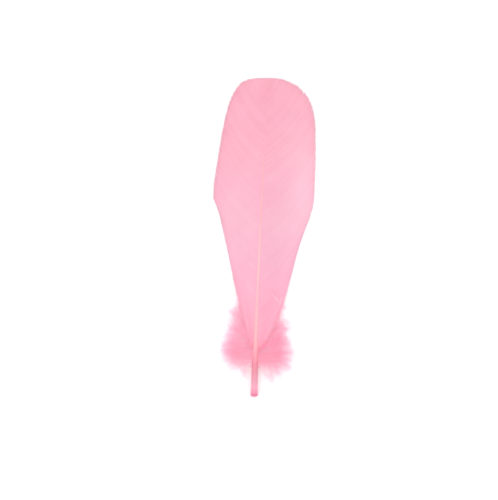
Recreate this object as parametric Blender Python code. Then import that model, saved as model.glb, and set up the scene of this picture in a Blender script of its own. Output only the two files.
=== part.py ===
"""A goose quill feather, lying on a flat surface with its outer side up.

It is one grown piece, so it is one solid: a tapering quill, two vanes that grow from it, and a tuft
of down at the foot of the vanes. The quill lies along +Y, from its cut end to the vane's tip, and
arches over the surface. The vanes curve down from it and lie flat on the surface along their edges.

Metres, +Z up. The origin is the centre of the feather's box, on the surface that it lies on.
"""

import math
from functools import cache

import bmesh
import bpy
import numpy as np
from mathutils import Vector

# Driving dimensions. Lengths along the feather are counted from the quill's cut end.
LENGTH = 0.160
TIP_SIDESTEP = 0.007  # how far the quill has bent to +X by the tip
BEND_POWER = 1.3
ARCH = 0.0058  # how far the quill rises above its cut end
ARCH_TOP = 0.080  # where it is highest
TIP_HEIGHT = 0.0006

# The quill's radius: at its cut end, in the bare barrel, at the foot of the vanes, and on to the tip.
QUILL_RADII = (
    (0.000, 0.00180),
    (0.003, 0.00165),
    (0.018, 0.00150),
    (0.027, 0.00120),
    (0.038, 0.00098),
    (0.050, 0.00083),
    (0.080, 0.00065),
    (0.110, 0.00050),
    (0.157, 0.00028),
)
QUILL_END = 0.157
QUILL_SIDES = 10
QUILL_RINGS = 34
RING_CROWDING = 1.4  # above 1, the rings stand closer together near the cut end

# The barrel is hollow, and is cut off at a slant: its upper lip is further along than its lower lip.
HOLLOW = ((0.0044, 0.70), (0.0, 0.83))  # its bottom and its mouth, and their share of the radius
CUT_SLANT = 0.0026
LOWER_LIP_OUT = 0.12  # the share of the slant by which the lower lip stands out
SLANT_REACH = 0.009  # how far along the barrel the slant fades out

# The vanes. A vane widens in a V up to its shoulder, and ends in a blunt round tip.
LEFT, RIGHT = -1, 1
FOOT = {LEFT: 0.0147, RIGHT: 0.0205}
SHOULDER = {LEFT: 0.1042, RIGHT: 0.1024}
WIDEST = {LEFT: 0.0250, RIGHT: 0.0267}
FOOT_POWER = {LEFT: 1.03, RIGHT: 0.69}  # 1 is a straight V, and below 1 it is fuller
TIP_POWER = {LEFT: 4.5, RIGHT: 2.9}  # 2 is an ellipse, and more is squarer
LEAN_IN = {LEFT: 0.22, RIGHT: 0.0}  # how much the vane narrows from its shoulder to its tip
CORNER = 20  # how tightly the outline turns at the shoulder

# The outline isn't quite even. This is added to the width: the distance along the feather, and how much.
TRIM = {
    LEFT: (
        (0.050, 0.0),
        (0.056, 0.0002),
        (0.064, 0.0),
        (0.078, -0.0003),
        (0.093, -0.0002),
        (0.100, 0.0008),
        (0.106, 0.0),
    ),
    RIGHT: (
        (0.030, 0.0),
        (0.044, 0.0006),
        (0.064, 0.0),
        (0.082, 0.0),
        (0.095, 0.0011),
        (0.105, 0.0002),
        (0.131, 0.0),
        (0.146, 0.0009),
        (0.155, 0.0),
    ),
}
VANE_THICKNESS = 0.0005
VANE_TOP = 0.6  # how high on the quill the vane's upper side meets it, as a share of its radius
EDGE_LIFT = 0.0032  # how high the vanes' edges are above the surface at the foot of the V
EDGE_UP_FROM, EDGE_DOWN_BY = 0.018, 0.076  # between these the edges sink to the surface
FLAT_SHARE = 0.84  # the share of the vane's width that curves down; the rest lies flat

# Barbs grow in clumps that overlap like tiles. Each runs from the quill out and towards the tip.
CLUMPS = 27
CLUMP_STEP = 0.00028  # how far a clump's lower edge stands above the clump before it
CLUMP_OVERHANG = 0.0008  # how far its lower corner stands out of the outline, at the tip of the vane
CLUMP_GAP = 0.06  # the share of a clump's width between it and the next one
ROOTS_START, ROOTS_END = 0.0215, 0.1560
FIRST_ROOT = 0.012  # the share of the roots' length where the first clump starts
FAN_POWER = 0.6  # below 1, the barbs fan out most at the foot
BARB_OUT, BARB_ALONG = 0.62, 0.36  # a barb sets off sideways and turns to the tip
BARB_STEPS = 6
STEP_POWER = 0.8  # below 1, the steps are shorter towards the edge

# Splits, where neighbouring clumps have come apart at the edge: side, clump, depth.
SPLITS = ((LEFT, 23, 0.0018), (RIGHT, 21, 0.0020), (RIGHT, 25, 0.0022), (RIGHT, 8, 0.0020))

# The down: locks of soft barbs that fan out around the foot of the vanes and lie under them.
LOCKS_A_SIDE = 24
DOWN_START, DOWN_END = 0.0175, 0.0440
ROOT_CROWDING = 1.5  # above 1, the locks' roots stand closer together at the foot
FIRST_LEAN, LAST_LEAN = math.radians(108), math.radians(34)  # from the way to the tip
LOCK_LENGTH = {LEFT: 0.0175, RIGHT: 0.0195}
SHORTER = 0.25  # the first and the last lock are this share shorter
LOCK_WIDTH, LOCK_THICKNESS = 0.00200, 0.00055
ROOT_SHARE, SWELL_BY = 0.55, 0.36  # a lock's width at its root, and how far out it is full
TIP_SHARE = 0.28  # its width at the tip, as a share of the full one
CURL = math.radians(16)  # how far a lock may bend to one side by its tip
UNEVEN = 0.14  # the share by which the locks' lengths differ
LOCK_STEPS = 6
LOCK_ROOT_DEPTH = 0.45  # how far under the quill's middle a lock starts, as a share of its radius
LOCK_FLOOR = 0.00045  # the height of a lock's tip

PINK = (0.98, 0.46, 0.58, 1.0)


def shaft_x(y):
    return TIP_SIDESTEP * (y / LENGTH) ** BEND_POWER


def shaft_z(y):
    """The height of the quill's middle line: two half parabolas that meet at its highest point."""
    start = QUILL_RADII[0][1]
    top = start + ARCH
    if y < ARCH_TOP:
        return top - ARCH * ((ARCH_TOP - y) / ARCH_TOP) ** 2
    return top - (top - TIP_HEIGHT) * ((y - ARCH_TOP) / (LENGTH - ARCH_TOP)) ** 2


def shaft_point(y):
    return Vector((shaft_x(y), y, shaft_z(y)))


def shaft_radius(y):
    stations, radii = zip(*QUILL_RADII)
    return float(np.interp(y, stations, radii))


def half_width(y, side):
    """The soft minimum of a curve that widens and one that closes round the tip, and the trim."""
    if y <= FOOT[side] or y >= LENGTH:
        return 0.0
    foot, shoulder, power = FOOT[side], SHOULDER[side], TIP_POWER[side]
    widening = ((y - foot) / (shoulder - foot)) ** FOOT_POWER[side]
    fall = max((y - shoulder) / (LENGTH - shoulder), 0)
    closing = (1 - fall**power) ** (1 / power) * (1 - LEAN_IN[side] * fall)
    width = WIDEST[side] * (widening**-CORNER + closing**-CORNER) ** (-1 / CORNER)
    return width + float(np.interp(y, *zip(*TRIM[side])))


@cache
def outline(side, samples=400):
    """The vane's outline as y, width and the share of its length, from the foot to the tip."""
    turn = np.linspace(0, math.pi / 2, samples)
    along = FOOT[side] + (LENGTH - FOOT[side]) * np.sin(turn)  # closer together at the blunt tip
    wide = np.array([half_width(y, side) for y in along])
    steps = np.hypot(np.diff(along), np.diff(wide))
    share = np.concatenate([[0], np.cumsum(steps)])
    return along, wide, share / share[-1]


def vane_height(x, y, side):
    """The height of the vane's underside: it curves from the quill down to the vane's edge."""
    edge_rise = max((EDGE_DOWN_BY - y) / (EDGE_DOWN_BY - EDGE_UP_FROM), 0)
    edge = EDGE_LIFT * min(edge_rise, 1) ** 1.5
    wide = max(half_width(y, side), 1e-6)
    out = min(abs(x - shaft_x(y)) / wide / FLAT_SHARE, 1)
    drop = out**2 * (3 - 2 * out)
    root = max(shaft_z(y) + VANE_TOP * shaft_radius(y) - VANE_THICKNESS, 0)
    return root * (1 - drop) + edge * drop


def barb_point(side, root_share, out):
    """A point of the vane: root_share is where the barb grows on the quill, out is how far along it."""
    along, wide, share = outline(side)
    root = ROOTS_START + (ROOTS_END - ROOTS_START) * root_share
    tip_y = np.interp(root_share**FAN_POWER, share, along)
    tip_width = np.interp(root_share**FAN_POWER, share, wide)
    bend = 2 * out * (1 - out)
    y = root + (tip_y - root) * (bend * BARB_ALONG + out**2)
    x = shaft_x(y) + side * tip_width * (bend * BARB_OUT + out**2)
    return float(x), float(y)


def clump_edges():
    """Each clump's lower and upper edge: the clump, where its roots are, and whether it is upper."""
    size = (1 - FIRST_ROOT) / CLUMPS
    for clump in range(CLUMPS):
        start = FIRST_ROOT + size * clump
        yield clump, start + size * CLUMP_GAP, False
        yield clump, start + size, True


def split_depth(side, clump):
    return sum(depth for at_side, at_clump, depth in SPLITS if (at_side, at_clump) == (side, clump))


def vane_row(side, clump, root_share, upper):
    """One edge of a clump, from the quill outwards: places on the underside, and how far raised."""
    row = []
    for step in range(1, BARB_STEPS + 1):
        out = (step / BARB_STEPS) ** STEP_POWER
        longer = CLUMP_OVERHANG * root_share**0.5 if step == BARB_STEPS else 0
        shorter = split_depth(side, clump) if step == BARB_STEPS else 0
        x, y = barb_point(side, root_share, out + (-shorter if upper else longer) / WIDEST[side])
        raised = 0 if upper else CLUMP_STEP * min(1, 2 * out)
        row.append((Vector((x, y, vane_height(x, y, side))), raised))
    return row


def tip_row():
    """The line along which both vanes meet, from the end of the quill to the tip."""
    row = []
    for step in range(1, BARB_STEPS + 1):
        y = ROOTS_END + (LENGTH - ROOTS_END) * step / BARB_STEPS
        row.append((Vector((shaft_x(y), y, vane_height(shaft_x(y), y, LEFT))), 0))
    return row


def add_vanes(bm):
    """Both vanes as one sheet: its underside is laid out in rows, then extruded upwards."""
    raise_layer = bm.verts.layers.float.new("raised")

    def vertex(place, raised=0):
        made = bm.verts.new(place)
        made[raise_layer] = raised
        return made

    rows = []
    for clump, root_share, upper in clump_edges():
        root = ROOTS_START + (ROOTS_END - ROOTS_START) * root_share
        middle = vertex(Vector((shaft_x(root), root, vane_height(shaft_x(root), root, LEFT))))
        if clump == CLUMPS - 1 and upper:
            shared = [vertex(*point) for point in tip_row()]
            rows.append(shared[::-1] + [middle] + shared)
            continue
        left = [vertex(*point) for point in vane_row(LEFT, clump, root_share, upper)]
        right = [vertex(*point) for point in vane_row(RIGHT, clump, root_share, upper)]
        rows.append(left[::-1] + [middle] + right)
    for lower, higher in zip(rows, rows[1:]):
        for k in range(len(lower) - 1):
            bm.faces.new((lower[k], higher[k], higher[k + 1], lower[k + 1]))
    made = bmesh.ops.extrude_face_region(bm, geom=bm.faces[:])["geom"]
    for vert in (item for item in made if isinstance(item, bmesh.types.BMVert)):
        vert.co.z += VANE_THICKNESS + vert[raise_layer]


def add_tube(bm, rings):
    """A closed tube through rings, each a list of places, with a flat cap on both ends."""
    made = [[bm.verts.new(place) for place in ring] for ring in rings]
    sides = len(made[0])
    for near, far in zip(made, made[1:]):
        for k in range(sides):
            after = (k + 1) % sides
            bm.faces.new((near[k], near[after], far[after], far[k]))
    bm.faces.new(made[0][::-1])
    bm.faces.new(made[-1])


def ring_round(centre, forward, across, thick, sides):
    """Points of an ellipse across `forward`: `across` is its level half axis, `thick` its upright one."""
    level = Vector((forward.y, -forward.x, 0)).normalized()
    upright = level.cross(forward).normalized()
    turns = (2 * math.pi * k / sides for k in range(sides))
    return [centre + level * across * math.cos(t) + upright * thick * math.sin(t) for t in turns]


def quill_ring(y, share=1):
    """A ring of this share of the quill's radius. Near the cut, its higher points are moved further on."""
    near = 0.0005  # how far along the quill its direction is measured
    forward = shaft_point(y + near) - shaft_point(max(y - near, 0))
    radius = shaft_radius(y) * share
    ring = ring_round(shaft_point(y), forward.normalized(), radius, radius, QUILL_SIDES)
    slant = CUT_SLANT * max(1 - y / SLANT_REACH, 0) ** 2
    for place in ring:
        height = (place.z - shaft_z(y)) / shaft_radius(y)
        place.y += slant * ((1 + height) / 2 - LOWER_LIP_OUT)
    return ring


def add_quill(bm):
    """One tube: from the bottom of the hollow to its mouth, over the lip, and along the outside."""
    rings = [quill_ring(y, share) for y, share in HOLLOW]
    for k in range(QUILL_RINGS + 1):
        rings.append(quill_ring(QUILL_END * (k / QUILL_RINGS) ** RING_CROWDING))
    add_tube(bm, rings)


def lock_middle(side, number, out):
    """A point of a lock's middle line. The locks fan out, and each sinks to the surface as it goes."""
    share = number / (LOCKS_A_SIDE - 1)
    start = shaft_point(DOWN_START + (DOWN_END - DOWN_START) * share**ROOT_CROWDING)
    lean = FIRST_LEAN + (LAST_LEAN - FIRST_LEAN) * share
    curl = CURL * math.sin(1.9 * number + side) * out**2
    uneven = 1 + UNEVEN * math.sin(4.3 * number + 2 * side)
    even = 1 - SHORTER + SHORTER * math.sin(math.pi * share)
    reach = LOCK_LENGTH[side] * even * uneven * out
    start.z -= LOCK_ROOT_DEPTH * shaft_radius(start.y)
    x = start.x + side * reach * math.sin(lean - curl)
    y = start.y + reach * math.cos(lean - curl)
    return Vector((x, y, LOCK_FLOOR + (start.z - LOCK_FLOOR) * (1 - out) ** 1.3))


def lock_taper(out):
    """The share of its full width that a lock has: it swells from its root, then narrows to its tip."""
    swell = ROOT_SHARE + (1 - ROOT_SHARE) * math.sin(math.pi / 2 * min(out / SWELL_BY, 1))
    return swell * (1 - (1 - TIP_SHARE) * out**2)


def add_locks(bm):
    near = 0.02  # how far along a lock its direction is measured
    for side in (LEFT, RIGHT):
        for number in range(LOCKS_A_SIDE):
            rings = []
            for step in range(LOCK_STEPS + 1):
                out = step / LOCK_STEPS
                before = lock_middle(side, number, max(out - near, 0))
                forward = lock_middle(side, number, min(out + near, 1)) - before
                taper = lock_taper(out)
                half = LOCK_WIDTH / 2 * taper, LOCK_THICKNESS / 2 * taper
                rings.append(ring_round(lock_middle(side, number, out), forward.normalized(), *half, 4))
            add_tube(bm, rings)


def keratin():
    """The dyed horn of the quill and its barbs."""
    material = bpy.data.materials.new("dyed feather")
    material.use_nodes = True
    shader = material.node_tree.nodes["Principled BSDF"]
    shader.inputs["Base Color"].default_value = PINK
    shader.inputs["Roughness"].default_value = 0.6
    shader.inputs["Metallic"].default_value = 0.0
    return material


def mesh_object(name, fill, material):
    """An object with the closed shapes that `fill` adds to a bmesh."""
    bm = bmesh.new()
    fill(bm)
    bmesh.ops.recalc_face_normals(bm, faces=bm.faces[:])
    mesh = bpy.data.meshes.new(name)
    bm.to_mesh(mesh)
    bm.free()
    mesh.materials.append(material)
    mesh.shade_smooth()
    mesh.set_sharp_from_angle(angle=math.radians(40))
    made = bpy.data.objects.new(name, mesh)
    bpy.context.collection.objects.link(made)
    return made


def fuse(feather, grown, use_self=False):
    """Joins a hidden shape to the feather, so that both are one solid."""
    grown.hide_render = True
    grown.display_type = "WIRE"
    union = feather.modifiers.new(grown.name, "BOOLEAN")
    union.operation = "UNION"
    union.object = grown
    union.use_self = use_self


def box_of(objects):
    """The lowest and highest corner that these meshes reach."""
    places = np.array([vertex.co for made in objects for vertex in made.data.vertices])
    return places.min(axis=0), places.max(axis=0)


def main():
    for old in list(bpy.data.objects):
        bpy.data.objects.remove(old)
    material = keratin()
    feather = mesh_object("feather", add_vanes, material)
    quill = mesh_object("quill_shape", add_quill, material)
    locks = mesh_object("down_shape", add_locks, material)
    lowest, highest = box_of((feather, quill, locks))
    middle = (lowest + highest) / 2
    for made in (feather, quill, locks):
        made.location = (-middle[0], -middle[1], -lowest[2])
    fuse(feather, quill)
    fuse(feather, locks, use_self=True)


main()
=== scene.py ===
import bpy
import numpy as np
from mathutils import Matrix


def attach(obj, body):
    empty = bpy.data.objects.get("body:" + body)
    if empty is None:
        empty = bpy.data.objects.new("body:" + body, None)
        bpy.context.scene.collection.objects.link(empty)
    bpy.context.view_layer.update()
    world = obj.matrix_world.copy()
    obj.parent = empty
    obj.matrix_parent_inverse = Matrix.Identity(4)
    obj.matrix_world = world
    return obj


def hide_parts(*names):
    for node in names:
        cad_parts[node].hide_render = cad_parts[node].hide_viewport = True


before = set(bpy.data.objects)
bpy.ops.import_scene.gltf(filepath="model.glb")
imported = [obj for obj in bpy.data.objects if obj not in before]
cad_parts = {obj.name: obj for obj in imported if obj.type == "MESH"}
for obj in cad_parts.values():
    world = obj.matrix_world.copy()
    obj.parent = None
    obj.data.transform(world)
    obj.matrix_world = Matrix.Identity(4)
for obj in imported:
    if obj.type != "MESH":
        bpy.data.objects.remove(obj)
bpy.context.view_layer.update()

# %% [markdown]
# # A goose quill feather
#
# The feather lies on a white floor with its outer side up, and the camera looks straight down on it.
# The frame holds one plain solid, `feather`. Here it is replaced by a quill, by two vanes built of
# single barbs, and by down. A feather is a good first lesson in building with arrays: it has hundreds
# of barbs, but one rule places them all.
#
# Everything is in metres. A place on the feather is worked out from the quill's cut end, as a distance
# along it and a distance to the side, and is moved to its place in the frame at the very end.

# %% The feather's own measures
LENGTH = 0.160
CUT_END = np.array([-0.005465, -0.080207, 0.0])  # where the quill's cut end stands in the frame
LEFT, RIGHT = -1, 1
MM = 0.001

# %% [markdown]
# ## The camera
#
# The photograph was taken from straight above. A long lens keeps the far and near parts of the feather
# at one scale. The camera's distance follows from the lens: the frame is 500 pixels high, and a pixel
# is half a millimetre on the feather.

# %% Camera
PIXEL = 0.5 * MM
FRAME_WIDTH, FRAME_HEIGHT = 498, 500
CUT_END_PIXEL = np.array([254.2, 397.5])  # in the photograph, from its upper left corner
LENS, SENSOR = 120, 36
CAMERA_AIM_HEIGHT = 3 * MM


def add_camera():
    """Looks straight down: the frame's middle is as far from the cut end as in the photograph."""
    off = (np.array([FRAME_WIDTH, FRAME_HEIGHT]) / 2 - CUT_END_PIXEL) * PIXEL
    data = bpy.data.cameras.new("camera")
    data.lens, data.sensor_width = LENS, SENSOR
    camera = bpy.data.objects.new("camera", data)
    distance = LENS / SENSOR * FRAME_HEIGHT * PIXEL
    camera.location = (CUT_END[0] + off[0], CUT_END[1] - off[1], CAMERA_AIM_HEIGHT + distance)
    bpy.context.scene.collection.objects.link(camera)
    bpy.context.scene.camera = camera
    return camera


print("camera at", [round(c, 4) for c in add_camera().location])

# %% [markdown]
# ## Floor and light
#
# The photograph is a white table in a light tent, with hardly a shadow. A white world gives that even
# light, and one large soft lamp, high up and a little to the left, gives the barbs a lit side. The floor
# is a plain plane of nearly white.
#
# Down glows because light goes on from one fibre to the next. By default Blender follows light over four
# matt surfaces only, and the down would turn grey, so the number of bounces is raised.

# %% Floor, world and lamp
FLOOR_SIZE, FLOOR_ROUGHNESS = 3.0, 0.9
FLOOR_WHITE = (0.96, 0.96, 0.96, 1.0)
WORLD_LIGHT, WORLD_WHITE = 1.0, (1.0, 1.0, 1.0, 1.0)
LIGHT_BOUNCES = 16
LAMP_PLACE, LAMP_SIZE, LAMP_WATTS = (-0.15, 0.0, 1.2), 1.0, 3.8


def floor_material():
    """The floor has one colour and no pattern, because it is only stage."""
    material = bpy.data.materials.new("white floor")
    material.use_nodes = True
    shader = material.node_tree.nodes["Principled BSDF"]
    shader.inputs["Base Color"].default_value = FLOOR_WHITE
    shader.inputs["Roughness"].default_value = FLOOR_ROUGHNESS
    return material


def add_floor():
    """A square around the frame's origin, at the height on which the feather lies."""
    half = FLOOR_SIZE / 2
    corners = [(-half, -half, 0), (half, -half, 0), (half, half, 0), (-half, half, 0)]
    mesh = bpy.data.meshes.new("floor")
    mesh.from_pydata(corners, [], [(0, 1, 2, 3)])
    mesh.materials.append(floor_material())
    floor = bpy.data.objects.new("floor", mesh)
    bpy.context.scene.collection.objects.link(floor)


def add_lamp():
    """A square lamp, turned so that it shines at the frame's origin."""
    data = bpy.data.lights.new("key_lamp", "AREA")
    data.size, data.energy = LAMP_SIZE, LAMP_WATTS
    lamp = bpy.data.objects.new("key_lamp", data)
    lamp.location = LAMP_PLACE
    lamp.rotation_euler = (-lamp.location).to_track_quat("-Z", "Y").to_euler()
    bpy.context.scene.collection.objects.link(lamp)


def add_world():
    """The same white light from every side, and enough bounces for it to pass through the down."""
    world = bpy.data.worlds.new("light tent")
    world.use_nodes = True
    background = world.node_tree.nodes["Background"]
    background.inputs["Color"].default_value = WORLD_WHITE
    background.inputs["Strength"].default_value = WORLD_LIGHT
    bpy.context.scene.cycles.max_bounces = LIGHT_BOUNCES
    bpy.context.scene.cycles.diffuse_bounces = LIGHT_BOUNCES
    bpy.context.scene.world = world
    bpy.context.scene.view_settings.view_transform = "Standard"


add_floor()
add_lamp()
add_world()
print("stage: a white floor, one lamp of", LAMP_WATTS, "watts, and light from every side")

# %% [markdown]
# ## From arrays to meshes
#
# Every piece here is a set of tubes: the quill is one, and a vane is hundreds. A tube is a row of
# rings, and a set of tubes is an array with the axes tube, ring, corner and XYZ. The faces follow from
# counting alone, so one function makes the mesh of any piece. Blender could also carry a profile along
# curves, but arrays make hundreds of them at once, and each can have its own width.
#
# Smooth shading rounds a tube of many corners. On a flat ribbon, or on a needle of three or four
# corners, it would bend the light wrongly and make the piece dark, so those keep their long edges sharp.

# %% Faces and their flat map, by counting
MAP_MARGIN = 0.02  # round a tube's rectangle on the flat map, as a share of it


def ring_faces(tubes, rings, corners):
    """Quads between each ring and the next, and a lid on both ends, as arrays of vertex numbers."""
    number = np.arange(tubes * rings * corners).reshape(tubes, rings, corners)
    after = np.roll(number, -1, axis=2)
    quads = np.stack([number[:, :-1], after[:, :-1], after[:, 1:], number[:, 1:]], axis=-1)
    lids = np.concatenate([number[:, 0, ::-1], number[:, -1]])
    return quads.reshape(-1, 4), lids


def laid_out(tubes, rings, corners, columns):
    """The places of quads and lids on a flat map, where a tube is a rectangle in a grid.

    u runs along the tube and v around it. A lid is one point, at its own end of its tube's rectangle.
    """
    rows = -(-tubes // columns)
    tube = np.arange(tubes)[:, None]
    along, around = (np.linspace(MAP_MARGIN, 1 - MAP_MARGIN, steps) for steps in (rings, corners + 1))
    u, v = (tube % columns + along) / columns, (tube // columns + around) / rows
    place = np.stack(np.broadcast_arrays(u[:, :, None], v[:, None, :]), axis=-1)
    four = place[:, :-1, :-1], place[:, :-1, 1:], place[:, 1:, 1:], place[:, 1:, :-1]
    lids = np.repeat(np.concatenate([place[:, 0, 0], place[:, -1, 0]]), corners, axis=0)
    return np.stack(four, axis=-2).reshape(-1, 4, 2), lids


print("a box is a tube of two rings, with", len(ring_faces(1, 2, 4)[0]), "quads and 2 lids")


# %% Inside and outside, and sharp edges
def signed_volume(places, faces):
    """Six times the volume inside, from each face's fan of triangles. It is negative if they point in."""
    corners = places[faces]
    first, total = corners[:, 0], 0.0
    for k in range(1, faces.shape[1] - 1):
        total += np.einsum("ij,ij->", first, np.cross(corners[:, k], corners[:, k + 1]))
    return total


def sharpen(mesh, rings, corners, sharp):
    """Marks the rims of the lids, and the long edges at these corners, so that shading stops there."""
    ends = np.empty(len(mesh.edges) * 2, np.int32)
    mesh.edges.foreach_get("vertices", ends)
    ends = ends.reshape(-1, 2)
    corner, ring = ends % corners, ends // corners % rings
    along = (corner[:, 0] == corner[:, 1]) & np.isin(corner[:, 0], sharp)
    rim = (ring[:, 0] == ring[:, 1]) & np.isin(ring[:, 0], (0, rings - 1))
    mesh.attributes.new("sharp_edge", "BOOLEAN", "EDGE").data.foreach_set("value", along | rim)


# %% A mesh object from rings
def tube_object(name, rings, material, sharp=(), columns=1, **values):
    """A mesh object from rings[tube, ring, corner, xyz], with faces pointing out.

    `sharp` names the corners whose long edges are sharp, and `columns` is that of the flat map.
    `values` are given to the vertices as attributes, spread over the shape tube, ring, corner.
    """
    places = (rings + CUT_END).reshape(-1, 3)
    quads, lids = ring_faces(*rings.shape[:3])
    flat, flat_lids = laid_out(*rings.shape[:3], columns)
    if signed_volume(places, quads) + signed_volume(places, lids) < 0:
        quads, lids, flat = quads[:, ::-1], lids[:, ::-1], flat[:, ::-1]
    mesh = bpy.data.meshes.new(name)
    corners = np.concatenate([quads.ravel(), lids.ravel()])
    sizes = np.repeat([4, lids.shape[1]], [len(quads), len(lids)])
    mesh.vertices.add(len(places))
    mesh.vertices.foreach_set("co", places.ravel().astype(np.float32))
    mesh.loops.add(len(corners))
    mesh.loops.foreach_set("vertex_index", corners.astype(np.int32))
    mesh.polygons.add(len(sizes))
    mesh.polygons.foreach_set("loop_start", (np.cumsum(sizes) - sizes).astype(np.int32))
    mesh.update(calc_edges=True)
    for value_name, value in values.items():
        attribute = mesh.attributes.new(value_name, "FLOAT", "POINT")
        value = np.broadcast_to(value, rings.shape[:3]).ravel()
        attribute.data.foreach_set("value", value.astype(np.float32))
    flat = np.concatenate([flat.reshape(-1, 2), flat_lids]).ravel()
    mesh.uv_layers.new(name="OFBake").uv.foreach_set("vector", flat.astype(np.float32))
    mesh.shade_smooth()
    sharpen(mesh, *rings.shape[1:3], sharp)
    mesh.materials.append(material)
    made = bpy.data.objects.new(name, mesh)
    bpy.context.scene.collection.objects.link(made)
    print(f"{name}: {rings.shape[0]} tubes, {len(sizes)} faces")
    return made


# %% [markdown]
# ## The quill's line
#
# A goose's quill is a bare, hollow barrel below and a tapering solid shaft above. It bends a little to
# the right and arches over the floor. Its line is given by three formulas of the distance from the cut
# end, so that the barbs can ask for their place on it.

# %% Line and radius of the quill
TIP_SIDESTEP, BEND_POWER = 7 * MM, 1.3
START_HEIGHT, ARCH, ARCH_TOP, TIP_HEIGHT = 1.8 * MM, 5.8 * MM, 80 * MM, 0.6 * MM
QUILL_RADII = np.array([  # distance from the cut end and radius, in mm
    (0, 1.8), (1.2, 1.77), (3, 1.66), (10, 1.6), (18, 1.5), (27, 1.2),
    (38, 0.98), (50, 0.83), (80, 0.63), (110, 0.47), (140, 0.28), (158, 0.12),
]) * MM
QUILL_END = 158 * MM


def share_between(value, start, end):
    """How far a value has come from start to end: 0 before, 1 beyond, and straight in between."""
    return np.clip((value - start) / (end - start), 0, 1)


def flowing(at, stations, values):
    """A smooth curve through values at stations: cubic pieces whose slopes are the mean of both sides'."""
    slopes = np.gradient(values, stations)
    piece = np.clip(np.searchsorted(stations, at) - 1, 0, len(stations) - 2)
    width = stations[piece + 1] - stations[piece]
    t = np.clip((at - stations[piece]) / width, 0, 1)
    rise = values[piece] * (1 + 2 * t) * (1 - t) ** 2 + values[piece + 1] * t**2 * (3 - 2 * t)
    return rise + width * (slopes[piece] * t * (1 - t) ** 2 - slopes[piece + 1] * t**2 * (1 - t))


def shaft_x(y):
    """A power curve: it bends more and more to the right."""
    return TIP_SIDESTEP * (np.clip(y, 0, None) / LENGTH) ** BEND_POWER


def shaft_z(y):
    """Two half parabolas that meet at the arch's top."""
    top = START_HEIGHT + ARCH
    before = top - ARCH * ((ARCH_TOP - y) / ARCH_TOP) ** 2
    beyond = top - (top - TIP_HEIGHT) * ((y - ARCH_TOP) / (LENGTH - ARCH_TOP)) ** 2
    return np.where(y < ARCH_TOP, before, beyond)


def shaft_radius(y):
    """A smooth curve through the quill's radii."""
    return flowing(y, *QUILL_RADII.T)


def shaft_point(y):
    """The point of the quill's middle line at this distance, from the three formulas."""
    return np.stack([shaft_x(y), y, shaft_z(y)], axis=-1)


print("arch top in mm:", round(float(shaft_z(np.array(ARCH_TOP))) / MM, 2))

# %% [markdown]
# ## The vane's surface
#
# A vane widens in a V to its shoulder and ends in a blunt round tip. Its surface curves down from the
# quill and lies flat along its edge. Both are formulas, and a barb is drawn on that surface as a
# quadratic curve: it sets off sideways from the quill and turns to the tip.

# %% Outline of a vane
FOOT = {LEFT: 14.7 * MM, RIGHT: 20.5 * MM}
SHOULDER = {LEFT: 104.2 * MM, RIGHT: 102.4 * MM}
WIDEST = {LEFT: 25.0 * MM, RIGHT: 26.7 * MM}
FOOT_POWER = {LEFT: 1.03, RIGHT: 0.69}
TIP_POWER = {LEFT: 4.5, RIGHT: 2.9}
LEAN_IN = {LEFT: 0.22, RIGHT: 0.0}  # how much the vane narrows from its shoulder to its tip
CORNER = 20  # how tightly the vane turns at its shoulder
TRIM = {  # what is added to the vane's width to meet the measured outline: distance and amount, in mm
    LEFT: np.array([
        (0, 0), (50, 0), (56, 0.25), (63, 0), (78, -0.35), (86, -0.4),
        (93, -0.3), (97, 0.3), (100, 0.9), (104, 0.3), (110, 0), (160, 0),
    ]) * MM,
    RIGHT: np.array([
        (0, 0), (30, 0), (42, 0.5), (51, 0.7), (57, 0.4), (64, 0), (83, 0.1), (89, 0.7), (95, 1.2),
        (103, 0.45), (112, -0.1), (124, -0.2), (131, 0), (139, 0.7), (147, 1.0), (151, 0.75),
        (155, 0.1), (158.5, -0.9), (160, 0),
    ]) * MM,
}
LEAST_SHARE = 1e-4  # the least that either curve falls to, because both are divided by


def half_width(y, side):
    """The soft minimum of two curves, plus the trim. One widens from the foot, one closes round the tip."""
    foot, shoulder, power = FOOT[side], SHOULDER[side], TIP_POWER[side]
    widening = np.maximum((y - foot) / (shoulder - foot), LEAST_SHARE) ** FOOT_POWER[side]
    fall = share_between(y, shoulder, LENGTH)
    closing = np.maximum((1 - fall**power) ** (1 / power) * (1 - LEAN_IN[side] * fall), LEAST_SHARE)
    width = WIDEST[side] * (widening**-CORNER + closing**-CORNER) ** (-1 / CORNER)
    return width + flowing(y, *TRIM[side].T)


def outline(side, samples=600):
    """The edge as distance along the feather, width, and share of the edge's length."""
    turn = np.linspace(0, np.pi / 2, samples)
    along = FOOT[side] + (LENGTH - FOOT[side]) * np.sin(turn)
    wide = half_width(along, side)
    share = np.concatenate([[0], np.cumsum(np.hypot(np.diff(along), np.diff(wide)))])
    return along, wide, share / share[-1]


for side, name in ((LEFT, "left"), (RIGHT, "right")):
    print(f"{name} vane: at most {outline(side)[1].max() / MM:.1f} mm wide")

# %% Height of a vane
EDGE_UP_FROM, EDGE_DOWN_BY = 18 * MM, 76 * MM  # the vane's edge is lifted at the foot and flat beyond
EDGE_LIFT, EDGE_LIFT_POWER = 3.2 * MM, 1.5
CURVED_SHARE = 0.84  # the share of the width over which the vane curves down to the edge's height
LEAST_WIDTH = 0.5 * MM  # the least width that a place across the vane is divided by
SHEET_HEIGHT = 0.16 * MM  # the barbs' middle above the underside
SHOULDER_UP = 0.5  # how high on the quill the barbs grow, as a share of its radius above the middle


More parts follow.
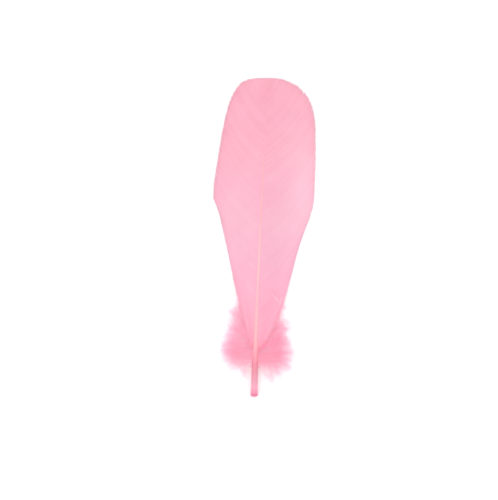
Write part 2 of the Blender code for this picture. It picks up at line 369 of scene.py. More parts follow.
def vane_height(x, y, side):
    """A smooth step from the quill's shoulder to the edge's height, over the part that curves down."""
    edge = EDGE_LIFT * share_between(y, EDGE_DOWN_BY, EDGE_UP_FROM) ** EDGE_LIFT_POWER
    wide = np.maximum(half_width(y, side), LEAST_WIDTH)
    out = np.clip(np.abs(x - shaft_x(y)) / wide / CURVED_SHARE, 0, 1)
    drop = out**2 * (3 - 2 * out)
    root = np.maximum(shaft_z(y) + SHOULDER_UP * shaft_radius(y) - SHEET_HEIGHT, 0)
    return root * (1 - drop) + edge * drop + SHEET_HEIGHT


arch_height = float(vane_height(shaft_x(ARCH_TOP), np.array(ARCH_TOP), LEFT))
print(f"the vanes leave the arch's top {arch_height / MM:.1f} mm over the floor")

# %% A barb's place on the vane
ROOTS_START, ROOTS_END = 21.5 * MM, 157 * MM
FAN_POWER = 0.6  # below one, the lowest barbs take more of the outline than the others
BARB_OUT, BARB_ALONG = 0.62, 0.36  # the middle point of a barb's curve, as shares of the way to its tip


def barb_place(side, root_share, out):
    """x and y of a point of a vane, from its barb's root, as a share of the roots, and how far out it is.

    The barb is a quadratic curve from its root on the quill to its tip on the outline.
    """
    along, wide, share = outline(side)
    root = ROOTS_START + (ROOTS_END - ROOTS_START) * root_share
    tip_y = np.interp(root_share**FAN_POWER, share, along)
    tip_width = np.interp(root_share**FAN_POWER, share, wide)
    bend = 2 * out * (1 - out)
    y = root + (tip_y - root) * (bend * BARB_ALONG + out**2)
    x = shaft_x(y) + side * tip_width * (bend * BARB_OUT + out**2)
    return x, y


middle_tip = np.array(barb_place(LEFT, 0.5, 1.0))
print("the middle barb on the left ends at, in mm:", (middle_tip / MM).round(1).tolist())

# %% [markdown]
# ## Dye and horn: the materials
#
# A feather is one stuff, keratin, dyed pink. Mixing in white or black to vary such a colour would look
# like chalk or dirt, because dye works as a filter: where there is twice the dye, light is filtered
# twice, so the colour is squared. The Gamma node raises a colour to a power, and that power is the
# dose of dye. One node group works out the dose for every material: the dose that each vertex carries,
# plus the cloudy unevenness of a dye bath, plus a small difference from barb to barb. On the vanes, in
# the quill's hollow and on the down, the dose that a vertex carries also holds painted light and shade.
# A colour ramp along the feather gives the colour at a dose of one.

# %% Node helpers
def node(tree, kind, inputs=None, **settings):
    """A node of this kind, with its settings and the values of its sockets."""
    made = tree.nodes.new(kind)
    for name, value in settings.items():
        setattr(made, name, value)
    for socket, value in (inputs or {}).items():
        made.inputs[socket].default_value = value
    return made


def srgb(red, green, blue):
    """A colour as seen on a screen, 0 to 255, as the linear numbers that a shader takes."""
    seen = np.array([red, green, blue]) / 255
    linear = np.where(seen <= 0.04045, seen / 12.92, ((seen + 0.055) / 1.055) ** 2.4)
    return (*linear.tolist(), 1.0)


print("a red of 128 on the screen is a linear", round(srgb(128, 128, 128)[0], 3))


# %% The dose of dye and of painted light
def make_dose_group():
    """Dose = the vertex's own dose, from dyeing and on some pieces from painted light and shade, + Clouds *
    noise around 0 + Streaks * the barb's `lot` around 0.
    """
    group = bpy.data.node_groups.new("Dose of dye", "ShaderNodeTree")
    for title, value in {"Cloud size": 60.0, "Clouds": 0.1, "Streaks": 0.1}.items():
        socket = group.interface.new_socket(title, in_out="INPUT", socket_type="NodeSocketFloat")
        socket.default_value = value
    group.interface.new_socket("Dose", in_out="OUTPUT", socket_type="NodeSocketFloat")
    given, result = group.nodes.new("NodeGroupInput"), group.nodes.new("NodeGroupOutput")
    link = group.links.new
    coordinates = node(group, "ShaderNodeTexCoord")
    noise = node(group, "ShaderNodeTexNoise", {"Detail": 3.0, "Roughness": 0.55})
    link(coordinates.outputs["Object"], noise.inputs["Vector"])
    link(given.outputs["Cloud size"], noise.inputs["Scale"])
    # The vertex's own dose: its dyeing, and on some pieces painted light and shade.
    total = node(group, "ShaderNodeAttribute", attribute_name="dye").outputs["Fac"]
    lot = node(group, "ShaderNodeAttribute", attribute_name="lot")
    for value, amount in ((noise.outputs["Fac"], "Clouds"), (lot.outputs["Fac"], "Streaks")):
        centred = node(group, "ShaderNodeMath", {1: 0.5}, operation="SUBTRACT")
        added = node(group, "ShaderNodeMath", operation="MULTIPLY_ADD")
        link(value, centred.inputs[0])
        link(centred.outputs[0], added.inputs[0])
        link(given.outputs[amount], added.inputs[1])
        link(total, added.inputs[2])
        total = added.outputs[0]
    link(total, result.inputs["Dose"])
    return group


DOSE = make_dose_group()
print("dose of dye:", [item.name for item in DOSE.interface.items_tree])


# %% Dyed keratin
def colour_along(tree, stops):
    """A colour ramp over the feather's length. Each stop is a share of the length and a colour."""
    coordinates = node(tree, "ShaderNodeTexCoord")
    split = node(tree, "ShaderNodeSeparateXYZ")
    share = node(tree, "ShaderNodeMapRange", {1: float(CUT_END[1]), 2: float(CUT_END[1]) + LENGTH})
    ramp = node(tree, "ShaderNodeValToRGB")
    elements = ramp.color_ramp.elements
    while len(elements) < len(stops):
        elements.new(0.5)  # its place is set below
    for element, (place, colour) in zip(elements, stops):
        element.position, element.color = place, colour
    tree.links.new(coordinates.outputs["Object"], split.inputs[0])
    tree.links.new(split.outputs["Y"], share.inputs[0])
    tree.links.new(share.outputs[0], ramp.inputs[0])
    return ramp.outputs["Color"]


def dyed_keratin(name, stops, dose, **surface):
    """The ramp's colour to the power of the dose. `surface` gives the shader's own numbers."""
    material = bpy.data.materials.new(name)
    material.use_nodes = True
    tree = material.node_tree
    shader = tree.nodes["Principled BSDF"]
    for socket, value in surface.items():
        shader.inputs[socket.replace("_", " ")].default_value = value
    amount = node(tree, "ShaderNodeGroup", dose, node_tree=DOSE)
    power = node(tree, "ShaderNodeGamma")
    tree.links.new(colour_along(tree, stops), power.inputs["Color"])
    tree.links.new(amount.outputs["Dose"], power.inputs["Gamma"])
    tree.links.new(power.outputs["Color"], shader.inputs["Base Color"])
    return material


# %% Keratin of the vanes, the quill and the down
VANE_STOPS = (
    (0.17, srgb(246, 169, 191)),
    (0.21, srgb(243, 168, 190)),
    (0.27, srgb(240, 166, 188)),
    (0.34, srgb(237, 166, 189)),
    (0.42, srgb(234, 169, 191)),
    (0.49, srgb(233, 169, 190)),
    (0.57, srgb(233, 172, 191)),
    (0.65, srgb(233, 167, 188)),
    (0.73, srgb(234, 166, 184)),
    (0.81, srgb(233, 163, 181)),
    (0.88, srgb(232, 161, 180)),
    (0.96, srgb(232, 159, 177)),
)
vane_keratin = dyed_keratin(
    "vane keratin", VANE_STOPS, {"Cloud size": 70.0, "Clouds": 0.22, "Streaks": 0.10},
    Roughness=0.55, Sheen_Weight=0.06, Specular_IOR_Level=0.3,
)
QUILL_STOPS = (
    (0.000, srgb(236, 136, 166)),
    (0.010, srgb(236, 138, 169)),
    (0.019, srgb(232, 143, 169)),
    (0.030, srgb(246, 160, 184)),
    (0.048, srgb(227, 153, 173)),
    (0.067, srgb(226, 144, 162)),
    (0.086, srgb(225, 138, 156)),
    (0.105, srgb(230, 135, 156)),
    (0.123, srgb(237, 153, 168)),
    (0.142, srgb(250, 156, 170)),
    (0.164, srgb(240, 171, 177)),
    (0.240, srgb(240, 177, 185)),
    (0.310, srgb(240, 175, 186)),
    (0.383, srgb(241, 181, 189)),
    (0.461, srgb(240, 182, 189)),
    (0.523, srgb(240, 177, 184)),
    (0.664, srgb(240, 174, 182)),
    (0.717, srgb(239, 170, 180)),
    (0.773, srgb(238, 168, 184)),
    (0.836, srgb(237, 166, 184)),
    (0.970, srgb(236, 163, 181)),
)
quill_keratin = dyed_keratin(
    "quill keratin", QUILL_STOPS, {"Cloud size": 160.0, "Clouds": 0.20, "Streaks": 0.0},
    Roughness=0.40, Specular_IOR_Level=0.4,
)
DOWN_STOPS = (
    (0.08, srgb(255, 215, 229)),
    (0.16, srgb(255, 211, 229)),
    (0.26, srgb(255, 213, 229)),
)
down_keratin = dyed_keratin(
    "down keratin", DOWN_STOPS, {"Cloud size": 120.0, "Clouds": 0.3, "Streaks": 0.2},
    Roughness=1.0, Specular_IOR_Level=0.0,
)
print("materials:", [m.name for m in bpy.data.materials])

# %% [markdown]
# ## The quill
#
# The quill is one tube carried along its line. Its barrel is round and hollow, and it was cut off at a
# slant, so that from above one looks into the opening. Its shaft has a groove along the underside, as a
# goose's has. A Boolean could cut the end, but the hollow can be part of the same tube: the rings start
# inside it, come out over the lip, and go on along the outside. The slant is a shear: the higher a
# point stands on its ring, the further it moves up the quill, and the less so the further the ring is
# from the cut.

# %% Directions round a line
UP = np.array([0.0, 0.0, 1.0])
LEAST_LENGTH = 1e-12  # the least length that a vector is divided by


def unit(vectors):
    """Each vector divided by its length."""
    return vectors / np.maximum(np.linalg.norm(vectors, axis=-1, keepdims=True), LEAST_LENGTH)


def level_and_upright(forward):
    """Two directions square to a line: its way crossed with up, and that level one crossed with its way."""
    level = unit(np.cross(forward, UP))
    return level, np.cross(level, forward)


def circle_round(forward, turn):
    """At each turn, its cosine times the level direction plus its sine times the upright one."""
    level, upright = level_and_upright(forward)
    return np.cos(turn)[:, None] * level[..., None, :] + np.sin(turn)[:, None] * upright[..., None, :]


def turns(corners):
    """The angles of a ring's corners, from the right over the top."""
    return np.linspace(0, 2 * np.pi, corners, endpoint=False)


print("corners of a needle, in degrees:", np.degrees(turns(3)).round().tolist())

# %% Quill
QUILL_RINGS, QUILL_CORNERS = 260, 32
RING_POWER = 1.3  # above one, the rings stand closer together near the cut end
SLOPE_STEP = 0.2 * MM  # to both sides of a point, for the line's direction there
HOLLOW_RINGS = np.array([  # from the bottom of the hollow to its lip: distance in mm, share of the radius
    (4.4, 0.02), (4.4, 0.70), (3.0, 0.76), (1.5, 0.80), (0.4, 0.83), (0.0, 0.88), (-0.05, 0.94),
])
# Painted light: a lower dose inside the hollow, against its shade.
HOLLOW_PAINTED_LIGHT = 0.9
CUT_SLANT = 2.6 * MM  # how much further the cut's upper lip is along the quill than its lower lip
LOWER_LIP_OUT, SLANT_REACH = 0.12, 9 * MM
GROOVE_DEPTH, GROOVE_WIDTH = 0.30, 0.42  # as a share of the radius, and in radians
GROOVE_START, GROOVE_FULL = 24 * MM, 34 * MM


def quill_rings():
    """The radius at a turn is the quill's radius, less a bell-shaped groove around the lowest point."""
    outside = QUILL_END * np.linspace(0, 1, QUILL_RINGS) ** RING_POWER
    y = np.concatenate([HOLLOW_RINGS[:, 0] * MM, outside])
    share = np.concatenate([HOLLOW_RINGS[:, 1], np.ones(QUILL_RINGS)])
    turn = turns(QUILL_CORNERS)
    from_lowest = np.abs((turn + np.pi / 2 + np.pi) % (2 * np.pi) - np.pi)
    begun = share_between(y, GROOVE_START, GROOVE_FULL)[:, None]
    groove = GROOVE_DEPTH * begun * np.exp(-((from_lowest / GROOVE_WIDTH) ** 2))
    radius = (shaft_radius(y) * share)[:, None] * (1 - groove)
    forward = unit(shaft_point(y + SLOPE_STEP) - shaft_point(y - SLOPE_STEP))
    places = shaft_point(y)[:, None] + radius[..., None] * circle_round(forward, turn)
    raised = (1 + share[:, None] * np.sin(turn)) / 2 - LOWER_LIP_OUT
    places[..., 1] += CUT_SLANT * raised * share_between(y, SLANT_REACH, 0)[:, None] ** 2
    return places[None]


def add_quill():
    """The quill, with painted light inside its hollow: a lower dose there, so that the hollow's own shade
    darkens it less.
    """
    rings = quill_rings()
    dye = np.ones(rings.shape[:3])
    dye[:, : len(HOLLOW_RINGS) - 1] = HOLLOW_PAINTED_LIGHT
    return tube_object("quill", rings, quill_keratin, dye=dye, lot=0.5)


quill = add_quill()

# %% [markdown]
# ## The vanes
#
# A vane is hundreds of barbs, each a thin ribbon that reaches from the quill to the vane's edge. On the
# real feather tiny hooks hold neighbours together, so the vane looks like one sheet with a fine grain.
# A flat sheet with a bump texture would be quicker, but its edge would be cut like paper. Here each
# barb is a ribbon a little wider than its distance to the next, with a raised middle and its lower edge
# tucked over the barb before it, like a roof tile.

# %% Waves along a vane's edge
EDGE_WAVE = 0.45 * MM  # how far the vane's edge lifts off the floor in soft waves
WAVE_LENGTHS = 31 * MM, 17 * MM
WAVE_SHIFT = 1.3  # in radians, to opposite sides for the two vanes


def waves(y, side):
    """The mean of two sines along the feather, between 0 and 1."""
    long, short = (np.sin(2 * np.pi * y / length + WAVE_SHIFT * side) for length in WAVE_LENGTHS)
    return (2 + long + short) / 4


def vane_point(side, root_share, out):
    """A place on the vane in space: barb_place from above, and the surface's height with its waves."""
    x, y = barb_place(side, root_share, out)
    z = vane_height(x, y, side) + EDGE_WAVE * waves(y, side) * np.clip(out, 0, 1) ** 2
    return np.stack([x, y, z], axis=-1)


lift = EDGE_WAVE / MM * waves(np.linspace(0, LENGTH, 9), LEFT)
print("waves of the left edge in mm:", lift.round(2).tolist())

# %% Notches in a vane's edge
NOTCHES = {  # where barbs have come apart: the share of the roots, from how far out, and how wide in mm
    LEFT: ((0.991, 0.84, 0.40), (0.889, 0.92, 0.40), (0.714, 0.95, 0.25), (0.46, 0.93, 0.25)),
    RIGHT: ((0.946, 0.86, 0.55), (0.905, 0.87, 0.40), (0.799, 0.90, 0.50), (0.30, 0.90, 0.35)),
}
NOTCH_REACH = 0.016  # how far to both sides barbs make room, as a share of the roots
NOTCH_POWER = 1.4  # above one, a notch opens mostly at its end


def moved_aside(side, share, out, moved):
    """Adds to how far each barb is moved aside: beside a notch, barbs make room for it.

    That is a power of how far out they are beyond the notch's beginning, times an exponential of their
    distance to it: they move the more the nearer they are and the further out.
    """
    for at, from_out, width in NOTCHES[side]:
        away = np.sign(share - at) * np.exp(-np.abs(share - at) / NOTCH_REACH)
        opened = share_between(out, from_out, 1) ** NOTCH_POWER
        moved = moved + away * opened * width * MM / 2
    return moved


print("notches, left and right:", [len(NOTCHES[side]) for side in (LEFT, RIGHT)])

# %% Barbs of a vane
BARBS = 300
BARB_STEPS = 12
FIRST_BARB = 0.010  # where the lowest one grows, as a share of the roots
OVERLAP = 1.6  # a barb's width, in distances to the next barb
RIDGE_HEIGHT, KEEL_DEPTH, TILE_LIFT = 0.06 * MM, 0.04 * MM, 0.022 * MM
THINNER = 0.55  # how much of its thickness a barb loses by its tip
TIP_NARROWS_FROM, TIP_WIDTH = 0.93, 0.25
ROOT_JITTER = 0.12  # in distances to the next barb
LONGER_SPREAD, ASIDE_SPREAD = 0.006, 0.03 * MM  # how unlike barbs are in length and in where they end


def root_shares(count):
    """Where the lowest barbs grow, as shares of the roots: at equal distances above the first one."""
    return FIRST_BARB + (1 - FIRST_BARB) * (np.arange(count) + 0.5) / BARBS


def barb_rings(side, random):
    """Four corners round each barb's middle line: two edges that reach over its neighbours, ridge and keel.

    The way across a barb is the way from the barb before it to the one beyond it, less its part along
    the barb. Both are measured in space, so that each ribbon lies in the curved surface of the vane.
    """
    root_share = root_shares(BARBS) + random.uniform(-ROOT_JITTER, ROOT_JITTER, BARBS) / BARBS
    step = np.linspace(0, 1, BARB_STEPS + 1)
    out = step * (1 + random.normal(0, LONGER_SPREAD, BARBS))[:, None]
    share = root_share[:, None] + np.zeros_like(out)
    middle = vane_point(side, share, out)
    before, beyond = (vane_point(side, np.clip(share + half / BARBS, 0, 1), out) for half in (-0.5, 0.5))
    apart = beyond - before
    forward = unit(np.gradient(middle, axis=1))
    across = apart - (apart * forward).sum(-1, keepdims=True) * forward
    normal = unit(np.cross(across, forward))
    normal = normal * np.sign(normal[..., 2:])
    moved = random.normal(0, ASIDE_SPREAD, BARBS)[:, None] * step**2
    middle = middle + moved_aside(side, share, out, moved)[..., None] * unit(across)
    narrow = share_between(step, TIP_NARROWS_FROM, 1)
    width = (OVERLAP / 2 * (1 - (1 - TIP_WIDTH) * narrow))[None, :, None]
    thin = (1 - THINNER * step)[None, :, None]
    near_edge = middle - across * width + normal * TILE_LIFT
    far_edge = middle + across * width - normal * TILE_LIFT
    ridge = middle + normal * RIDGE_HEIGHT * thin
    keel = middle - normal * KEEL_DEPTH * thin
    return np.stack([near_edge, ridge, far_edge, keel], axis=2)


# %% Dye and painted light of a vane, and both vanes
PAINTED_LIGHT_BETWEEN = 0.055  # painted light: the colour is paler halfway between the quill and the edge, where the vane slopes away from the light
# Patches where the vane is paler, or darker for a negative amount: partly uneven dye and partly painted
# light and shade. The large pale one on the right vane's outer half is painted light where its curved edge
# catches the light, and the darker one low on the right vane is painted shade.
DYE_AND_LIGHT_PATCHES = {  # in mm: x and y from the cut end, half width and half height, and how much lower the dose is there
    LEFT: ((-14, 73, 6, 17, 0.09),),
    RIGHT: ((26, 112, 8, 26, 0.165), (19, 80, 9, 14, 0.045), (6.4, 43, 5, 7, -0.06)),
}


def dye_of_vane(side, rings):
    """The dose is one, less half a sine across the vane, which is painted light on its slope, and less a
    bell around each patch, which is partly painted light and shade.
    """
    x, y = rings[..., 0], rings[..., 1]
    across = np.clip(np.abs(x - shaft_x(y)) / np.maximum(half_width(y, side), MM), 0, 1)
    dye = 1 - PAINTED_LIGHT_BETWEEN * np.sin(np.pi * across)
    for at_x, at_y, wide, high, less in DYE_AND_LIGHT_PATCHES[side]:
        dye -= less * np.exp(-(((x / MM - at_x) / wide) ** 2) - ((y / MM - at_y) / high) ** 2)
    return dye


def add_vane(side, name, seed):
    """A vane's barbs in one piece. Each barb also takes up the dye in its own way, by its lot."""
    random = np.random.default_rng(seed)
    rings = barb_rings(side, random)
    lot = random.uniform(0, 1, BARBS)[:, None, None]
    return tube_object(name, rings, vane_keratin, sharp=(0, 2), dye=dye_of_vane(side, rings), lot=lot)


vanes = [add_vane(LEFT, "left_vane", 11), add_vane(RIGHT, "right_vane", 12)]

# %% [markdown]
# ## The down
#
# Below the vanes the barbs have no hooks. They are soft, and carry long loose barbules, so that they
# look like smoke. Hair curves would be the usual way to make them in a picture, but an export drops
# those. Here a barb of down is a thin curved tube, and each of its barbules is a needle of eight faces,
# so that a tuft of thousands stays one light mesh. The down lies under the foot of the vanes and
# spreads over the floor, and wherever a vane is above it, it is kept below that vane.

# %% Below the vane and above the floor
UNDER_VANE, OVER_FLOOR = 0.45 * MM, 0.06 * MM
FIRST_BARB_SAMPLES = 20  # points along the lowest barb


def tucked(places, side):
    """Moves each point to below the vane's underside and above the floor.

    Beyond the vane's edge, and before its first barb, the limit rises at 45 degrees.
    """
    x, y, z = np.moveaxis(places, -1, 0)
    off = side * (x - shaft_x(y))
    first_x, first_y = barb_place(side, FIRST_BARB, np.linspace(0, 1, FIRST_BARB_SAMPLES))
    before = np.interp(off, side * (first_x - shaft_x(first_y)), first_y) - y
    clear = np.maximum(np.maximum(off - half_width(y, side), before), 0)
    limit = vane_height(x, y, side) - UNDER_VANE + clear
    return np.stack([x, y, np.maximum(np.minimum(z, limit), OVER_FLOOR)], axis=-1)


sample = np.array([5 * MM, 60 * MM, 50 * MM])
print(f"50 mm up, under the right vane, becomes {tucked(sample, RIGHT)[2] / MM:.1f} mm")

# %% Lines of the down's barbs
DOWN_BARBS, DOWN_STEPS = 140, 12
DOWN_START, DOWN_END = {LEFT: 18.8 * MM, RIGHT: 18.0 * MM}, 44 * MM
DOWN_ROOT_POWER = 1.7  # above one, the barbs stand closer together near the barrel
LEANS = {  # from the way to the tip in degrees, by share of the barbs
    LEFT: ((0, 0.03, 0.08, 0.25, 1), (145, 110, 90, 79, 32)),
    RIGHT: ((0, 0.06, 0.25, 1), (128, 101, 84, 32)),
}
LEAN_SPREAD = 0.2  # in radians, as all angles below
DOWN_LENGTH = {LEFT: 15.5 * MM, RIGHT: 17.5 * MM}
DOWN_LENGTH_SHARES = (0, 0.15, 0.35, 0.7, 1), (0.75, 1, 1, 0.95, 0.8)  # by share of the barbs
DOWN_LENGTH_RANGE = 0.7, 1.12
CURL, CURL_SPREAD = 0.25, 0.9  # how far the heading turns from root to tip
CURL_MIDDLE = 0.3  # the share of the way at which it has turned back to the lean
SWAY, SWAY_TURN = 0.3, 6  # the sine's size, and how far it turns from root to tip
ROOT_HEIGHTS = -0.3, 0.65  # on the quill's side, as a share of its radius
ROOT_DEPTH = 0.8  # how far from the quill's middle the barbs begin, as a share of its radius
END_HEIGHTS = 0.4, 3.9  # over the floor, in mm
SAGS = 0.8, 1.8  # powers: above one, a barb sinks mostly near the quill, and below one near its tip


def beside_quill(root, side, height, depth):
    """Points on the quill's side: `height` radii up, and out as a circle is at that height.

    `depth` is the share of the way out, so that below one they are inside the quill.
    """
    start, radius = shaft_point(root), shaft_radius(root)
    start[:, 0] += side * depth * radius * np.sqrt(1 - height**2)
    start[:, 2] += height * radius
    return start


def down_paths(side, random):
    """Each barb's line: it fans out from the quill, curls, and sinks towards the floor as a power curve.

    Its heading is its lean, plus a curl that grows along it, plus a sine. The line is the sum of equal
    strides along that heading.
    """
    share = (np.arange(DOWN_BARBS) + random.uniform(0, 1, DOWN_BARBS)) / DOWN_BARBS
    root = DOWN_START[side] + (DOWN_END - DOWN_START[side]) * share**DOWN_ROOT_POWER
    lean = np.radians(np.interp(share, *LEANS[side])) + random.normal(0, LEAN_SPREAD, DOWN_BARBS)
    longest = DOWN_LENGTH[side] * np.interp(share, *DOWN_LENGTH_SHARES)
    length = longest * random.uniform(*DOWN_LENGTH_RANGE, DOWN_BARBS)
    curl = random.normal(CURL, CURL_SPREAD, DOWN_BARBS)[:, None]
    sway = random.uniform(0, 2 * np.pi, DOWN_BARBS)[:, None]
    out = np.linspace(0, 1, DOWN_STEPS + 1)
    heading = lean[:, None] + curl * (out - CURL_MIDDLE) + SWAY * np.sin(sway + SWAY_TURN * out)
    stride = (length / DOWN_STEPS)[:, None, None]
    ahead = np.cumsum(np.stack([side * np.sin(heading), np.cos(heading)], axis=-1) * stride, axis=1)
    ahead = np.concatenate([np.zeros((DOWN_BARBS, 1, 2)), ahead[:, :-1]], axis=1)
    start = beside_quill(root, side, random.uniform(*ROOT_HEIGHTS, DOWN_BARBS), ROOT_DEPTH)
    end_height = random.uniform(*END_HEIGHTS, DOWN_BARBS) * MM
    sag = random.uniform(*SAGS, DOWN_BARBS)[:, None]
    z = end_height[:, None] + (start[:, 2] - end_height)[:, None] * (1 - out) ** sag
    return tucked(np.concatenate([start[:, None, :2] + ahead, z[..., None]], axis=-1), side)


print("barbs of down on each side:", DOWN_BARBS)

# %% Needles
NEEDLE_PARTS = 0.55, 0.45  # a needle bends once: the shares of its length before the bend and after
NEEDLE_BEND = 0.45  # the spread of what the bend adds to its direction
NEEDLE_RADIUS = 0.014 * MM
NEEDLE_TAPER = np.array([[1.0, 0.8, 0.15]])  # shares of the radius at its root, its bend and its tip


def thin_tubes(paths, radius, corners):
    """Round rings of this radius along each path, square to it."""
    forward = unit(np.gradient(paths, axis=1))
    return paths[:, :, None] + radius[..., None, None] * circle_round(forward, turns(corners))


def needle_paths(start, way, length, random):
    """Three points a needle: its root, its bend part of the way out, and its tip, off the first way."""
    middle = start + way * length * NEEDLE_PARTS[0]
    bent = unit(way + random.normal(0, NEEDLE_BEND, way.shape))
    end = middle + bent * length * NEEDLE_PARTS[1]
    return np.stack([np.broadcast_to(start, way.shape), middle, end], axis=-2)


def needle_object(name, paths, columns, dye, lot):
    """Many needles of three corners as one piece, in this number of columns on the flat map."""
    needles = thin_tubes(paths.reshape(-1, 3, 3), NEEDLE_TAPER * NEEDLE_RADIUS, 3)
    return tube_object(name, needles, down_keratin, range(3), columns, dye=dye, lot=lot)


print("a needle's radii in mm:", (NEEDLE_TAPER[0] * NEEDLE_RADIUS / MM).round(4).tolist())

# %% Barbules
BARBULES = 92  # to each side of a barb
BARBULE_ROOT_POWER = 0.9  # below one, they stand a little closer together near the barb's tip
BARBULE_LENGTH, LONGER_AT_TIP = 3.0 * MM, 0.15
BARBULE_LENGTH_RANGE, FLUFF_RANGE = (0.35, 1.25), (0.6, 1.15)  # for each barbule, and for each barb
BARBULE_ASIDE, BARBULE_UP, BARBULE_AHEAD = (0.9, 0.35), (0.0, 0.5), (0.7, 0.3)  # means and spreads


def barbule_paths(paths, side, random):
    """Each barbule leaves its barb ahead and to one side or the other, and a little up or down."""
    out = ((np.arange(BARBULES) + 0.5) / BARBULES) ** BARBULE_ROOT_POWER
    at = out * (paths.shape[1] - 1)
    low = np.clip(at.astype(int), 0, paths.shape[1] - 2)
    stride = paths[:, low + 1] - paths[:, low]
    start = paths[:, low] + stride * (at - low)[:, None]
    forward = unit(stride)[:, :, None]
    level = unit(np.cross(forward, UP))
    shape = (*start.shape[:2], 2, 1)
    hand = np.array([[-1.0], [1.0]])
    aside = random.normal(*BARBULE_ASIDE, shape)
    up = random.normal(*BARBULE_UP, shape)
    way = forward * random.normal(*BARBULE_AHEAD, shape) + hand * level * aside
    way = unit(way + UP * up)
    fluffy = random.uniform(*FLUFF_RANGE, (len(paths), 1, 1, 1))
    longest = BARBULE_LENGTH * (1 + LONGER_AT_TIP * out)[:, None, None]
    length = longest * random.uniform(*BARBULE_LENGTH_RANGE, shape) * fluffy
    return tucked(needle_paths(start[:, :, None], way, length, random), side)


print("barbules on each barb:", 2 * BARBULES)

# %% Down
# The strands take a dose of 2.2, so that they show as dark strokes in the down: partly their own deeper
# pink and partly painted shade.
STRAND_RADIUS, STRAND_TAPER, STRAND_DYE_AND_SHADE = 0.04 * MM, 0.75, 2.2
BARBULE_DYE_AND_LIGHT = {LEFT: (0.80, 1.06), RIGHT: (0.94, 1.22)}  # at the root and at the tip of a barb; the lower dose at the root is painted light against the shade near the quill
BARBULE_COLUMNS = 114  # of the flat map


def add_down(side, name, seed):
    """The strands as one piece, and the barbules of the lower and of the upper strands as two more."""
    random = np.random.default_rng(seed)
    paths = down_paths(side, random)
    out = np.linspace(0, 1, DOWN_STEPS + 1)
    radius = STRAND_RADIUS * (1 - STRAND_TAPER * out) + np.zeros((DOWN_BARBS, 1))
    lot = random.uniform(0, 1, DOWN_BARBS)[:, None, None]
    strands = thin_tubes(paths, radius, 4)
    pieces = [tube_object(name + "_strands", strands, down_keratin, range(4), dye=STRAND_DYE_AND_SHADE, lot=lot)]
    barbules = barbule_paths(paths, side, random)
    half = DOWN_BARBS // 2
    dye = np.tile(np.repeat(np.linspace(*BARBULE_DYE_AND_LIGHT[side], BARBULES), 2), half)[:, None, None]
    for label, part in (("_lower_barbules", slice(0, half)), ("_upper_barbules", slice(half, None))):
        lots = np.repeat(lot[part], BARBULES * 2, axis=0)
        pieces.append(needle_object(name + label, barbules[part], BARBULE_COLUMNS, dye, lots))
    return pieces


down = [*add_down(LEFT, "left_down", 21), *add_down(RIGHT, "right_down", 22)]

# %% [markdown]
# ## Where vane turns into down
#
# The lowest barbs of a vane are hooked together near the quill only. Their ends carry the same loose
# barbules as the down, so there the edge is a soft fringe. It is made of the same needles, which start on
# the outer part of the lowest barbs. It lies at the vane's own height and so also hides the dark gap
# between the vane and the down below it. The very lowest barbs are downy nearly down to the quill, and
# their needles hang over the pit where both vanes and the down meet.

# %% Fringe of the vanes
FRINGED_BARBS = 24  # the lowest ones of each vane
FRINGE = 200  # needles to a barb
FRINGE_FROM = 0.72  # how far out on its barb the fringe begins
FRINGE_POWER = 1.3  # above one, the needles stand closer together near the barb's tip
FRINGE_LENGTH, FRINGE_LENGTH_RANGE = 2.6 * MM, (0.3, 1.1)
FRINGE_SHORTEST = 0.15  # on the uppermost of these barbs, as a share of the length on the lowest
FRINGE_ASIDE = 0.1, 1  # the least and the most
FRINGE_AHEAD, FRINGE_UP = (0.25, 0.6), (0, 0.3)  # means and spreads
FRINGE_DYE = 0.88
FRINGE_COLUMNS = 70  # of the flat map
DOWNY_BARBS = 7  # the very lowest ones, which are downy nearly down to the quill
# The lowest barb's fringe begins nearer to the quill, is more even, hangs back and is longer.
DOWNY_NEARER, DOWNY_EVENER, DOWNY_BACK, DOWNY_LONGER = 0.95, 0.8, 0.9, 0.8


def add_fringe(side, name, seed):
    """Each needle sets off outwards and to the tip, and those of the very lowest barbs to the cut end.

    How far out on its barb it begins is one less a power of an even draw. `downy` falls from one on the
    lowest barb to none, and further up the vane the needles get shorter.
    """
    random = np.random.default_rng(seed)
    shape = (FRINGED_BARBS, FRINGE)
    downy = np.clip(1 - np.arange(FRINGED_BARBS) / DOWNY_BARBS, 0, 1)[:, None]
    reach = 1 - FRINGE_FROM * (1 - DOWNY_NEARER * downy)
    out = 1 - reach * random.uniform(0, 1, shape) ** (FRINGE_POWER - DOWNY_EVENER * downy)
    root_share = root_shares(FRINGED_BARBS)[:, None] + random.uniform(-0.5, 0.5, shape) / BARBS
    start = vane_point(side, root_share, out)
    aside = side * random.uniform(*FRINGE_ASIDE, shape)
    ahead = random.normal(*FRINGE_AHEAD, shape) - DOWNY_BACK * downy
    way = unit(np.stack([aside, ahead, random.normal(*FRINGE_UP, shape)], axis=-1))
    longest = FRINGE_LENGTH * np.linspace(1, FRINGE_SHORTEST, FRINGED_BARBS)[:, None]
    length = longest * (1 + DOWNY_LONGER * downy) * random.uniform(*FRINGE_LENGTH_RANGE, shape)
    paths = needle_paths(start, way, length[..., None], random)
    paths[..., 2] = np.maximum(paths[..., 2], OVER_FLOOR)
    lot = np.repeat(random.uniform(0, 1, FRINGED_BARBS), FRINGE)[:, None, None]
    return needle_object(name, paths, FRINGE_COLUMNS, FRINGE_DYE, lot)


fringes = [add_fringe(LEFT, "left_fringe", 41), add_fringe(RIGHT, "right_fringe", 42)]

# %% [markdown]
# ## Stubs and a stray barb
#
# Where the down begins, some barbs were stripped off when the feather was cleaned, and their stubs stand
# along both sides of the quill. They are the same tapering tubes as the strands of down, only short and
# thick. One barb has come loose from its vane and lies across it as a pale Y: two ribbons through a few
# measured points, laid just over the vane.

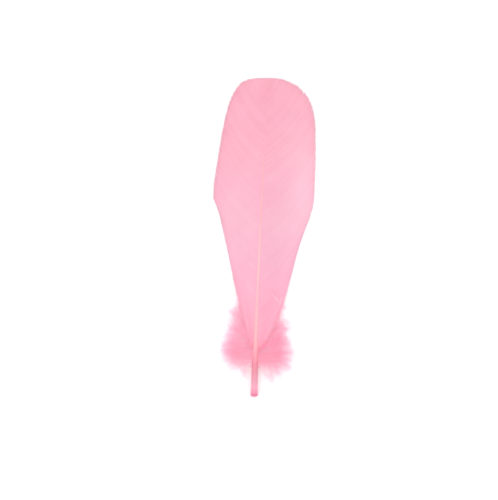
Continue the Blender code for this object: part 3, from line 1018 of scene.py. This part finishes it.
# %% Stubs of stripped barbs
STUBS, STUB_POINTS, STUB_CORNERS = 30, 5, 6  # to each side, along a stub and around it
STUBS_START, STUBS_END = 15 * MM, 26 * MM
STUB_LEANS, STUB_LEAN_SPREAD = (1.9, 0.9), 0.45  # in radians from the way to the tip, start and end
STUB_HEIGHTS = -0.8, 0.3  # on the quill's side, as a share of its radius
STUB_DEPTH = 0.9  # how far from the quill's middle they begin, as a share of its radius
STUB_UP = -0.15, 0.3  # a mean and a spread
STUB_LENGTH, STUB_LENGTH_RANGE = 1.8 * MM, (0.2, 1.2)
STUB_BEND = np.array([0.0, 0.35, 0.0])  # at its end, as a share of its length
STUB_RADIUS, STUB_RADIUS_RANGE = 0.09 * MM, (0.6, 1.1)
STUB_TAPER, STUB_TAPER_POWER = 0.8, 1.5
STUB_DYE = 0.9
STUB_COLUMNS = 8  # of the flat map


def add_stubs(random):
    """Each stub sets off from the quill's side, outwards and a little down, and bends to the tip."""
    side = np.repeat([LEFT, RIGHT], STUBS)
    count = len(side)
    root = random.uniform(STUBS_START, STUBS_END, count)
    start = beside_quill(root, side, random.uniform(*STUB_HEIGHTS, count), STUB_DEPTH)
    lean = np.interp(root, (STUBS_START, STUBS_END), STUB_LEANS) + random.normal(0, STUB_LEAN_SPREAD, count)
    way = np.stack([side * np.sin(lean), np.cos(lean), random.normal(*STUB_UP, count)], axis=-1)
    out = np.linspace(0, 1, STUB_POINTS)[:, None]
    length = STUB_LENGTH * random.uniform(*STUB_LENGTH_RANGE, (count, 1, 1))
    paths = start[:, None] + length * (way[:, None] * out + STUB_BEND * out**2)
    thick = STUB_RADIUS * random.uniform(*STUB_RADIUS_RANGE, (count, 1))
    tubes = thin_tubes(paths, thick * (1 - STUB_TAPER * out[:, 0] ** STUB_TAPER_POWER), STUB_CORNERS)
    lot = random.uniform(0, 1, count)[:, None, None]
    return tube_object("barb_stubs", tubes, vane_keratin, columns=STUB_COLUMNS, dye=STUB_DYE, lot=lot)


stubs = add_stubs(np.random.default_rng(31))

# %% The stray barb
STRAY_ARMS = np.array([  # both arms of the Y from the stem to the tip, as x and y from the cut end, in mm
    [(12.9, 47.2), (12.2, 48.2), (11.4, 49.1), (10.3, 50.2), (9.2, 51.4), (8.0, 52.6)],
    [(12.7, 44.7), (12.8, 46.2), (13.0, 47.4), (13.5, 48.5), (13.8, 49.7), (13.9, 50.9)],
]) * MM
STRAY_WIDTH, STRAY_THICKNESS, STRAY_OVER_VANE = 0.95 * MM, 0.04 * MM, 0.16 * MM
STRAY_ENDS, STRAY_TAPER_POWER = (0.05, 0.97), 0.7  # the part of half a sine that gives its width
STRAY_STEPS, STRAY_CORNERS = 16, 6
STRAY_DYE = 0.80


def add_stray_barb():
    """A flat ellipse along each arm, pointed at its tip, just over the vane and its waves."""
    stations = np.arange(float(STRAY_ARMS.shape[1]))
    steps = np.linspace(0, stations[-1], STRAY_STEPS)
    x, y = (np.stack([flowing(steps, stations, arm[:, axis]) for arm in STRAY_ARMS]) for axis in (0, 1))
    waved = EDGE_WAVE * waves(y, RIGHT) * ((x - shaft_x(y)) / half_width(y, RIGHT)) ** 2
    middle = np.stack([x, y, vane_height(x, y, RIGHT) + waved + STRAY_OVER_VANE], axis=-1)
    level, upright = level_and_upright(unit(np.gradient(middle, axis=1)))
    taper = (np.sin(np.pi * np.linspace(*STRAY_ENDS, STRAY_STEPS)) ** STRAY_TAPER_POWER)[:, None, None]
    turn = turns(STRAY_CORNERS)[:, None]
    wide = STRAY_WIDTH / 2 * taper * np.cos(turn) * level[:, :, None]
    thick = STRAY_THICKNESS / 2 * taper * np.sin(turn) * upright[:, :, None]
    ribbons = middle[:, :, None] + wide + thick
    return tube_object("stray_barb", ribbons, vane_keratin, range(STRAY_CORNERS), dye=STRAY_DYE, lot=0.5)


stray = add_stray_barb()

# %% [markdown]
# ## The pieces on the body
#
# Every piece moves with the one body, and stands for the plain solid, which is hidden.

# %% Finish
for piece in [quill, *vanes, *down, *fringes, stubs, stray]:
    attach(piece, "root")
    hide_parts("feather")
